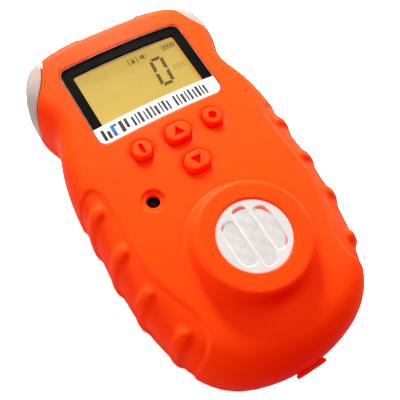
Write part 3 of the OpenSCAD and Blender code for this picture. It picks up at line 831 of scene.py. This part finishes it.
def metal(name, tone, rough, stretch=None):
    dark = tuple(v * 0.82 for v in tone)
    return make(name, dark, tone, rough, 220, 2600, 0.2, stretch, Metallic=1)


def orange_rubber(name, lift):
    """Moulded rubber, fluorescent red, with painted shade in its creases and a painted red glow that only
    the camera sees, lifting its shade.
    """
    p = Paint(name, Specular_IOR_Level=0.07, Emission_Color=(1, 0, 0))
    base = p.mix(p.varied(0, 1, 90, 4), (0.88, 0.085, 0.003), (0.92, 0.094, 0.004))
    # Painted shade: the colour goes darker red in creases and hollows.
    base = p.mix(p.hollows(0.0028, 0.3, 0.96), (0.7, 0.018, 0.001), base)
    # Painted glow: red light of strength lift that only the camera sees, lifting the shade.
    p.fill(p.shader, Base_Color=base, Roughness=p.varied(0.4, 0.5, 260),
           Normal=p.grain(5200, 0.22, 0.00004, Normal=p.grain(900, 0.1, 0.00006)),
           Emission_Strength=p.math("MULTIPLY", p.ray("Camera"), lift))
    return p.owner


def window_clear():
    """Thin clear sheet: see-through, with a reflection that grows at grazing angles."""
    p = Paint("window_clear", "MixShader")
    tint = p.mix(p.varied(0, 1, 60), (0.95, 0.96, 0.95), (0.99, 0.99, 0.98))
    clear = p.node("BsdfTransparent", Color=tint)
    gloss = p.node("BsdfGlossy", Roughness=p.varied(0.01, 0.04, 220, 5))
    facing = p.node("Fresnel", IOR=1.12).outputs[0]
    outer = p.math("SUBTRACT", 1, p.node("NewGeometry").outputs["Backfacing"])
    share = p.math("MULTIPLY", facing, outer)
    p.put_all(p.shader, share, clear.outputs[0], gloss.outputs[0])
    return p.owner


def lens_clear(name, low, high, rim_from, painted_glow):
    """Frosted lens: milky with soft streaks, partly see-through, with painted shade in its flutes, a
    painted darker brown rim where it turns from the view and a painted glow.
    """
    p = Paint(name, Emission_Strength=painted_glow, Transmission_Weight=0.45, IOR=1.35, Coat_Weight=0.4)
    base = p.mix(p.varied(0, 1, 160, 4, (1, 1, 0.25)), low, high)
    # Painted shade in the flutes and creases.
    base = p.mix(p.hollows(0.0016, 0.35, 0.85), (0.62, 0.16, 0.09), base)
    # Painted rim shade: browner where the surface turns from the view.
    facing = p.node("LayerWeight", Blend=0.5).outputs["Facing"]
    base = p.mix(p.spread(facing, 0, 1, rim_from, 0.98), base, (0.38, 0.17, 0.11))
    return p.done(base, (0.12, 0.25, 300), (1500, 0.2, 0.0001), Emission_Color=base)


# Edges of the display, as the start and end of each change in metres, and its colour. At the top: a painted
# bright line, a brown band of painted shadow from the window's top edge and a pale lip of painted
# highlight. At the right: an orange edge of painted glow.
LCD_TOP = [(0.0413, 0.04145, (0.85, 0.42, 0.06)), (0.04165, 0.0418, (0.42, 0.29, 0.15)),
           (0.04245, 0.0426, (0.62, 0.52, 0.42))]
LCD_RIGHT = (0.015, 0.0166, (0.8, 0.3, 0.03))


def lcd_material():
    """Display: gold field under a painted glow that stands in for its light and shade, brighter towards the
    left and the bottom, with painted light and shade at its edges.
    """
    p = Paint("lcd", Emission_Strength=0.98, Specular_IOR_Level=0.1)
    x, y, _ = p.node("SeparateXYZ", Vector=p.coord).outputs
    # The painted glow grows towards the left and the bottom.
    painted_glow = p.math("ADD", p.spread(x, 1, 0, -0.017, 0.004), p.spread(y, 1, 0, 0.024, 0.036))
    painted_glow = p.math("ADD", p.math("MULTIPLY", painted_glow, 0.5), p.varied(-0.05, 0.05, 60, 1))
    base = p.mix(painted_glow, (0.66, 0.45, 0.105), (0.78, 0.54, 0.12))
    for across, (start, end, tone) in [(y, band) for band in LCD_TOP] + [(x, LCD_RIGHT)]:
        base = p.mix(p.spread(across, 0, 1, start, end), base, tone)
    # A dark body under the painted glow, so that the display shows hardly any shade.
    body = p.mix(1, base, (0.13, 0.12, 0.08), "MULTIPLY")
    return p.done(body, (0.25, 0.35, 400), (9000, 0.15, 0.00002), Emission_Color=base)


def board_material():
    """Solder mask with copper tracks showing through."""
    p = Paint("board_green")
    tracks = p.node("TexBrick", Scale=140, Mortar_Size=0.06, Color1=(0.01, 0.085, 0.03),
                    Color2=(0.012, 0.1, 0.036), Mortar=(0.03, 0.19, 0.07), Vector=p.coord)
    base = p.mix(p.varied(0, 0.3, 500), tracks.outputs["Color"], (0.02, 0.13, 0.05))
    return p.done(base, (0.25, 0.4, 300), (2500, 0.2, 0.00005))


def zebra_material():
    """Elastomer strip of fine conducting bands."""
    p = Paint("zebra")
    bands = p.node("TexWave", Scale=260, Distortion=0.2, Vector=p.coord).outputs["Fac"]
    base = p.mix(bands, (0.75, 0.35, 0.38), (0.03, 0.03, 0.03))
    return p.done(base, (0.5, 0.7, 400), (3000, 0.2, 0.00005))


# Two colours, then the range of roughness, the scales of patches and grain, and the grain's depth.
PLAIN = {
    # The first finish is pale: a painted highlight for the window's edge line.
    "painted_edge_highlight": ((0.36, 0.2, 0.16), (0.58, 0.4, 0.34), (0.2, 0.35), 500),
    "mask_black": ((0.003, 0.003, 0.002), (0.008, 0.007, 0.005), (0.5, 0.65), 300),
    "label_white": ((0.9, 0.9, 0.88), (0.96, 0.96, 0.94), (0.3, 0.4), 120, 5000, 0.1),
    "light_panel": ((0.75, 0.72, 0.55), (0.85, 0.82, 0.66), (0.3, 0.45)),
    "frame_plastic": ((0.5, 0.34, 0.16), (0.62, 0.43, 0.22), (0.35, 0.5)),
    "led": ((0.85, 0.55, 0.5), (0.92, 0.68, 0.62), (0.1, 0.2)),
    "black_plastic": ((0.004, 0.004, 0.004), (0.01, 0.01, 0.01), (0.08, 0.16), 300),
    "chip_black": ((0.012, 0.012, 0.013), (0.03, 0.03, 0.032), (0.45, 0.6), 400),
    "sensor_white": ((0.42, 0.41, 0.4), (0.5, 0.49, 0.47), (0.16, 0.28), 160, 2200),
    "membrane": ((0.4, 0.39, 0.37), (0.46, 0.45, 0.43), (0.45, 0.6), 350, 3000, 0.3),
    "seal_grey": ((0.05, 0.012, 0.006), (0.08, 0.02, 0.01), (0.6, 0.75), 300),
    "seal_orange": ((0.8, 0.1, 0.05), (0.9, 0.14, 0.07), (0.45, 0.55), 300),
    "cell_grey": ((0.42, 0.43, 0.44), (0.55, 0.56, 0.57), (0.35, 0.5)),
    "pouch": ((0.1, 0.22, 0.42), (0.16, 0.3, 0.52), (0.3, 0.45), 120, 900, 0.4),
    "lead_wire": ((0.3, 0.01, 0.01), (0.45, 0.02, 0.02), (0.35, 0.5), 300),
    "ink": ((0.01, 0.01, 0.012), (0.022, 0.021, 0.022), (0.35, 0.5), 500),
    "ink_blue": ((0.02, 0.13, 0.55), (0.03, 0.17, 0.62), (0.35, 0.5), 500),
    "lcd_mark": ((0.02, 0.014, 0.008), (0.035, 0.024, 0.012), (0.5, 0.6), 500),
    "lcd_icon": ((0.03, 0.02, 0.01), (0.045, 0.03, 0.014), (0.5, 0.6), 500),
}


# Inputs for a painted glow: light given off by a finish that is no lamp.
def painted_glow(colour, strength, **more):
    return dict(Emission_Color=colour, Emission_Strength=strength, **more)


# Painted glow, which lifts the shade of these finishes, and other inputs, of some plain finishes.
EXTRA = {
    "painted_edge_highlight": painted_glow((0.9, 0.55, 0.45), 0.06),
    "mask_black": {"Specular_IOR_Level": 0.02},
    "label_white": painted_glow((1, 0.98, 0.94), 0.35),
    "led": {"Transmission_Weight": 0.3},
    "sensor_white": painted_glow((0.9, 0.84, 0.81), 0.5, Subsurface_Weight=0.15, Subsurface_Scale=1,
                         Subsurface_Radius=(0.0012, 0.0009, 0.0008)),
    "membrane": painted_glow((0.88, 0.81, 0.77), 0.46),
    "seal_orange": painted_glow((0.8, 0.16, 0.09), 0.6),
    "lcd_mark": painted_glow((0.15, 0.093, 0.036), 0.85, Specular_IOR_Level=0.05),
    "lcd_icon": painted_glow((0.25, 0.155, 0.05), 0.85, Specular_IOR_Level=0.05),
}
finishes = [make(name, *values, **EXTRA.get(name, {})) for name, values in PLAIN.items()]
finishes += [
    # The number is the strength of the painted red glow; the keys get more of it than the case.
    orange_rubber("orange_rubber", 0.54),
    orange_rubber("keypad_rubber", 0.66),
    # The last number is the strength of each lens's painted glow.
    lens_clear("lens_clear", (0.8, 0.63, 0.54), (0.9, 0.82, 0.74), 0.8, 0.07),
    lens_clear("lens_pink", (0.92, 0.42, 0.34), (0.98, 0.58, 0.5), 0.93, 0.16),
    window_clear(),
    lcd_material(),
    zebra_material(),
    board_material(),
    metal("contact_brass", (0.8, 0.58, 0.25), (0.18, 0.3)),
    metal("screw_steel", (0.55, 0.55, 0.56), (0.2, 0.35)),
    metal("clip_steel", (0.62, 0.62, 0.63), (0.22, 0.38), (1, 0.06, 1)),
    metal("motor_steel", (0.66, 0.66, 0.67), (0.15, 0.3), (1, 0.1, 1)),
]


def plain_name(material):
    """A material's name without the number that Blender adds to a repeated one."""
    return material.name.split(".")[0]


FINISH = {plain_name(material): material for material in finishes}


def dress(obj, finish, slot):
    obj.data.materials.clear()
    obj.data.materials.append(FINISH[finish])


def place(obj, body, finish, nodes=(), slot=None):
    """Dresses a piece, puts it on its body and hides the CAD nodes that it stands for."""
    dress(obj, finish, slot or finish)
    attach(obj, body)
    if nodes:
        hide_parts(*nodes)


# CAD nodes that stay keep the finish of their material slot. Some get softened edges, in millimetres.
SOFT_EDGE = {
    0.12: ["main_board", "display_board", "processor_chips"],
    0.15: ["zebra_strip", "charge_socket"],
    0.2: ["board_header", "motor_weight", "clip_pin", "lcd_frame", "keypad_web", "key_switches",
          "sensor_gasket", "board_screws"],
    0.3: ["lcd_backlight"],
    0.4: ["sensor_cell", "motor_can"],
    0.5: ["sounder"],
    1.4: ["battery_cell"],
}
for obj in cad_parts.values():
    own = plain_name(obj.data.materials[0])
    dress(obj, own, own)
for width, names in SOFT_EDGE.items():
    for name in names:
        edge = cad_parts[name].modifiers.new("soft_edge", "BEVEL")
        edge.width = width * MM
        edge.segments = 3
        edge.limit_method = "ANGLE"
        edge.angle_limit = math.radians(35)


# ---- pieces
def piece(name, field, node, step, finish, body="case", below=0, above=0, slot=None, hides=None,
          limit=FACE_LIMIT):
    """Carves a piece in a CAD node's grown box, to stand for it or for the nodes in hides."""
    low, high = box_mm(node)
    obj = carve(name, field, low - below, high + above, step, limit)
    place(obj, body, finish, [node] if hides is None else hides, slot)


ROOM = (0.6, 0.6, 0)
piece("case_front", front_cover, "front_cover", 0.36, "orange_rubber", below=ROOM, above=ROOM)
piece("case_rear", rear_cover, "rear_cover", 0.4, "orange_rubber", below=ROOM, above=ROOM, limit=150000)
for side in ("left", "right"):
    piece(side + "_lens", corner_lens, side + "_alarm_lens", 0.22, "lens_clear")
piece("top_lens", top_lens, "top_alarm_lens", 0.16, "lens_pink", below=(0, 2, 0), above=(0, 0, 2),
      slot="lens_clear")
for k, key in enumerate(KEYS):
    piece(key + "_cap", key_cap(k), key + "_key", 0.11, "keypad_rubber", key + "_button")
LIFT = (0, 0, 0.3)
piece("window_glass", window_glass, "window_lens", 0.2, "window_clear", above=LIFT)
# The window's edge band is finished pale, as a painted highlight.
piece("window_edge", window_edge, "window_lens", 0.1, "painted_edge_highlight", above=LIFT,
      slot="window_clear", hides=[])
piece("window_border", window_border, "window_lens", 0.2, "mask_black", above=LIFT, hides=["window_mask"])
piece("sensor_grille", sensor_cap, "sensor_cap", 0.14, "sensor_white")
piece("filter_disc", membrane, "sensor_filter", 0.14, "membrane", below=0.8, above=(0.8, 0.8, 1.4))
piece("filter_seal", pad_seal, "sensor_filter", 0.14, "seal_orange", below=1.5, above=1.5, hides=[])
piece("sounder_dome", sound_dome, "sounder_boot", 0.14, "black_plastic")
piece("port_cover", port_cover, "port_plug", 0.1, "orange_rubber", "plug")
piece("clip_plate", clip_plate, "clip_base", 0.2, "clip_steel")
piece("clip_arm", clip_lever, "clip_lever", 0.2, "clip_steel", "lever", below=0.4, above=0.4)


def screw_set(name, node, places, *sizes):
    """One screw, carved once and copied to every place."""
    head_r, head_low, _, _, tip, _ = sizes
    one = carve(name, screw(*sizes), (-head_r, -head_r, head_low), (head_r, head_r, tip), 0.11)
    place(copies(one, [(*at, 0) for at in places]), "case", "screw_steel", [node])


screw_set("cover_screws", "case_screws", CASE_SCREWS, 2.1, 1.2, 2.9, 1.15, 17.2, 1.3)
screw_set("plate_screws", "clip_screws", [(0, y) for y in CLIP_SCREW_Y], 2.2, -2, -1.02, 1.1, 3, 1.2)


def tube(name, path, radius, sides):
    """Round wire along a path, with closed ends."""
    ahead = np.gradient(path, axis=0)
    ahead /= np.linalg.norm(ahead, axis=1, keepdims=True)
    side = np.cross(ahead[0], (1, 0, 0))
    turn = (2 * np.pi * np.arange(sides) / sides)[:, None]
    rings = []
    for p, t in zip(path, ahead):
        side = side - t * (side @ t)
        side /= np.linalg.norm(side)
        rings.append(p + radius * (np.cos(turn) * side + np.sin(turn) * np.cross(t, side)))
    verts = np.vstack(rings + [path[:1], path[-1:]])
    step = [(s, (s + 1) % sides) for s in range(sides)]
    last, ends = (len(path) - 1) * sides, len(path) * sides
    faces = [(i + a, i + b, i + b + sides, i + a + sides) for i in range(0, last, sides) for a, b in step]
    caps = [(ends, b, a) for a, b in step] + [(ends + 1, last + a, last + b) for a, b in step]
    return mesh_object(name, verts, faces + caps, len(faces))


# The clip's torsion spring: a leg on the plate, the coil round the pin, and a leg on the lever.
COIL_R, WIRE_R, COIL_HALF, COIL_TURNS, LEG = 2, 0.35, 4, 5.5, 8
turns = np.radians(np.arange(0, 360 * COIL_TURNS + 1, 12))
shift = (2 * turns / turns[-1] - 1) * COIL_HALF
helix = np.stack([shift, -COIL_R * np.sin(turns), COIL_R * np.cos(turns)], 1)
start_leg = np.array([-COIL_HALF, LEG, -HINGE_Z - 1 - WIRE_R - 0.05])
end_leg = np.array([COIL_HALF, LEG, -3])
lead_in = start_leg + (helix[0] - start_leg) * np.linspace(0, 0.85, 7)[:, None]
lead_out = helix[-1] + (end_leg - helix[-1]) * np.linspace(0.15, 1, 7)[:, None]
coil = tube("clip_coil", np.vstack([lead_in, helix, lead_out]) + (0, HINGE_Y, HINGE_Z), WIRE_R, 12)
dress(coil, "screw_steel", "screw_steel")
start, end = ((side * COIL_HALF * MM, HINGE_Y * MM, HINGE_Z * MM) for side in (-1, 1))
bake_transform(coil)
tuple(start)
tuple(end)
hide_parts("clip_spring")


# ---- printing
def plates(name, shapes, height, thick):
    """Flat inked shapes: each a loop of points, lifted to height(x) and given a thickness."""
    verts, faces = [], []
    for loop in shapes:
        if sum(a[0] * b[1] - a[1] * b[0] for a, b in zip(loop, loop[1:] + loop[:1])) < 0:
            loop = loop[::-1]
        n, base = len(loop), len(verts)
        for lift in (0, thick):
            verts += [(x, y, height(x) + lift) for x, y in loop]
        faces.append(tuple(range(base + n - 1, base - 1, -1)))
        faces.append(tuple(range(base + n, base + 2 * n)))
        for i in range(n):
            j = (i + 1) % n
            faces.append((base + i, base + j, base + n + j, base + n + i))
    return mesh_object(name, verts, faces, 0)


def bar(x0, x1, y0, y1):
    return [(x0, y0), (x1, y0), (x1, y1), (x0, y1)]


def seven_bars(x0, y0, w, h, t, lean):
    """Six lit bars of a seven-bar zero with mitred ends: a flat bar and a side bar, mirrored."""
    m, g = t / 2, 0.12
    flat = [(m + g, 0), (w - m - g, 0), (w - t - g, t), (t + g, t)]
    side = [(0, m + g), (t, t + g), (t, h / 2 - t * 0.6), (0, h / 2 - g)]
    loops = [flat, side, [(w - x, y) for x, y in side]]
    loops += [[(x, h - y) for x, y in loop] for loop in loops]
    return [[(x0 + x + lean * y, y0 + y) for x, y in loop] for loop in loops]


SEEN_SHIFT = (1.1, 1.8)      # display marks sit deeper than the window's surface
lcd_top = float(box_mm("lcd_glass")[1][2])
digit = seven_bars(3.9, 26, 4.3, 9.8, 1, 0.09)
BRACKETS = [(-0.6, -0.35, 36.7, 38.6), (2.1, 2.35, 36.7, 38.6), (0.35, 1.35, 36.8, 37.9),
            (0.55, 1.15, 38.1, 38.5), (-0.35, 0, 38.4, 38.6), (-0.35, 0, 36.7, 36.9),
            (1.75, 2.1, 38.4, 38.6), (1.75, 2.1, 36.7, 36.9)]
SPEAKER = [(3.1, 3.55, 37.2, 38.2), (5.1, 5.3, 37.2, 38.2)]
BATTERY = [(10.6, 13.9, 36.8, 37), (10.6, 13.9, 38.4, 38.6), (10.4, 10.6, 36.8, 38.6),
           (13.9, 14.1, 36.8, 38.6), (14.1, 14.4, 37.3, 38.1)]
BATTERY += [(10.95 + i, 11.55 + i, 37.25, 38.15) for i in range(3)]
UNIT_TICKS = [(10.1 + 0.78 * i, 10.26 + 0.78 * i, 29.3 + 0.5 * (i % 2), 31) for i in range(5)]
marks = [bar(*sides) for sides in BRACKETS + SPEAKER + BATTERY + UNIT_TICKS]
marks.append([(3.65, 37.2), (4.5, 36.7), (4.5, 38.7), (3.65, 38.2)])    # the speaker's horn
for name, loops, finish in (("lcd_digit", digit, "lcd_mark"), ("lcd_icons", marks, "lcd_icon")):
    loops = [[(x + SEEN_SHIFT[0], y + SEEN_SHIFT[1]) for x, y in loop] for loop in loops]
    place(plates(name, loops, lambda x: lcd_top + 0.01, 0.03), "case", finish, slot="lcd")


def plate_height(x):
    return float(crown(x)) - 0.22


# Bars on the name plate: left, width, and lower and upper ends from the plate's middle line.
TALL_BARS = [(-17.2, 0.9, -1.8, 1.6), (-15.8, 0.9, -1.8, 0.6), (-12, 1.1, -1.8, 1.8),
             (-10.4, 0.9, -1.2, 1.8)]
BLUE_BARS = [(-14.4, 1, -1.8, 1.7), (-13.4, 0.9, 0.9, 1.7)]
# Widths of the small bars, each with the space after it.
SMALL_BARS = [(0.7, 0.55), (0.45, 0.5), (0.8, 0.7), (0.45, 0.5), (0.7, 0.6), (0.55, 0.5), (0.8, 0.65),
              (0.45, 0.55), (0.7, 0.5), (0.6, 1.6), (0.7, 0.5), (0.5, 0.6), (0.8, 0.55), (0.45, 0.55),
              (0.7, 0.65), (0.55, 0.5), (0.8, 0.5), (0.5, 0.5), (0.7, 0.5)]
PLATE_MID = float(mid_mm("name_plate")[1])
small, at = [], -8.4
for i, (wide, space) in enumerate(SMALL_BARS):
    small.append((at, wide, -1.75, 1.75 if i % 3 else 1.3))
    at += wide + space
for name, bars, finish, slot in (("plate_print", TALL_BARS + small, "ink", "mask_black"),
                                      ("plate_print_blue", BLUE_BARS, "ink_blue", "label_white")):
    loops = [bar(x, x + wide, PLATE_MID + low, PLATE_MID + high) for x, wide, low, high in bars]
    place(plates(name, loops, plate_height, 0.02), "case", finish, slot=slot)


# ---- stage
def floor_material():
    """Pale paper: brighter to the camera than to bounced light, so that it reads white."""
    p = Paint("floor_paper", "BsdfDiffuse")
    level = p.mix(p.ray("Glossy"), (0.08,) * 3, (0.6,) * 3)
    level = p.mix(p.ray("Camera"), level, (7,) * 3)
    p.fill(p.shader, Color=p.mix(1, level, p.varied(0.97, 1, 8), "MULTIPLY"))
    return p.owner


FLOOR_HALF, FLOOR_Z = 1500, float(lever_low[2]) - 0.4
square = [(x * FLOOR_HALF, y * FLOOR_HALF, FLOOR_Z) for x, y in ((-1, -1), (1, -1), (1, 1), (-1, 1))]
floor = mesh_object("floor", square, [(0, 1, 2, 3)], 0)
floor.data.materials.append(floor_material())


def area_light(name, power, size, spot, target, spread_deg=180):
    data = bpy.data.lights.new(name, "AREA")
    data.energy, data.shape, data.size = power, "DISK", size
    data.spread = math.radians(spread_deg)
    lamp = link(bpy.data.objects.new(name, data))
    lamp.location = spot
    lamp.visible_camera = False
    lamp.rotation_euler = (Vector(target) - Vector(spot)).to_track_quat("-Z", "Y").to_euler()


area_light("softbox", 0.19, 0.15, (0.07, 0.32, 0.18), (0.02, 0.085, 0.03), 42)
area_light("side_left", 0.55, 0.3, (-0.45, 0.1, 0.12), (0, 0, 0.02))
area_light("side_right", 1.1, 0.3, (0.45, 0.1, 0.12), (0, 0, 0.02))

# The world is brightest towards SKY_TOWARDS, dimmer in reflections, and white to the camera.
SKY_TOWARDS = (0, 0.8, 0.6)
world = bpy.data.worlds.new("studio")
bpy.context.scene.world = world
sky = Paint("sky", "Background", world)
facing = sky.node("VectorMath", operation="DOT_PRODUCT")
sky.put_all(facing, sky.coord, SKY_TOWARDS)
level = sky.spread(facing.outputs["Value"], 0.004, 0.42, 0, 0.95)
level = sky.math("MULTIPLY", level, sky.spread(sky.ray("Glossy"), 1, 0.35, 0, 1))
level = sky.math("ADD", level, sky.spread(sky.ray("Glossy"), 0, 0.06, 0, 1))
sky.fill(sky.shader, Color=sky.mix(sky.ray("Camera"), level, (1, 1, 1)))

# ---- camera
CAMERA_AT = Vector((-42.7, -50.5, 155.2)) * MM
camera_data = bpy.data.cameras.new("camera")
camera_data.sensor_width, camera_data.lens = 36, 49.53
camera_data.clip_start, camera_data.clip_end = 0.01, 5
camera = link(bpy.data.objects.new("camera", camera_data))
right = Vector((0.849, -0.522, 0.079)).normalized()
ahead = Vector((0.276, 0.312, -0.909))
ahead = (ahead - right * ahead.dot(right)).normalized()
turned = Matrix((right, right.cross(ahead), -ahead)).transposed().to_4x4()
camera.matrix_world = Matrix.Translation(CAMERA_AT) @ turned
bpy.context.scene.camera = camera
bpy.context.scene.view_settings.view_transform = "Standard"
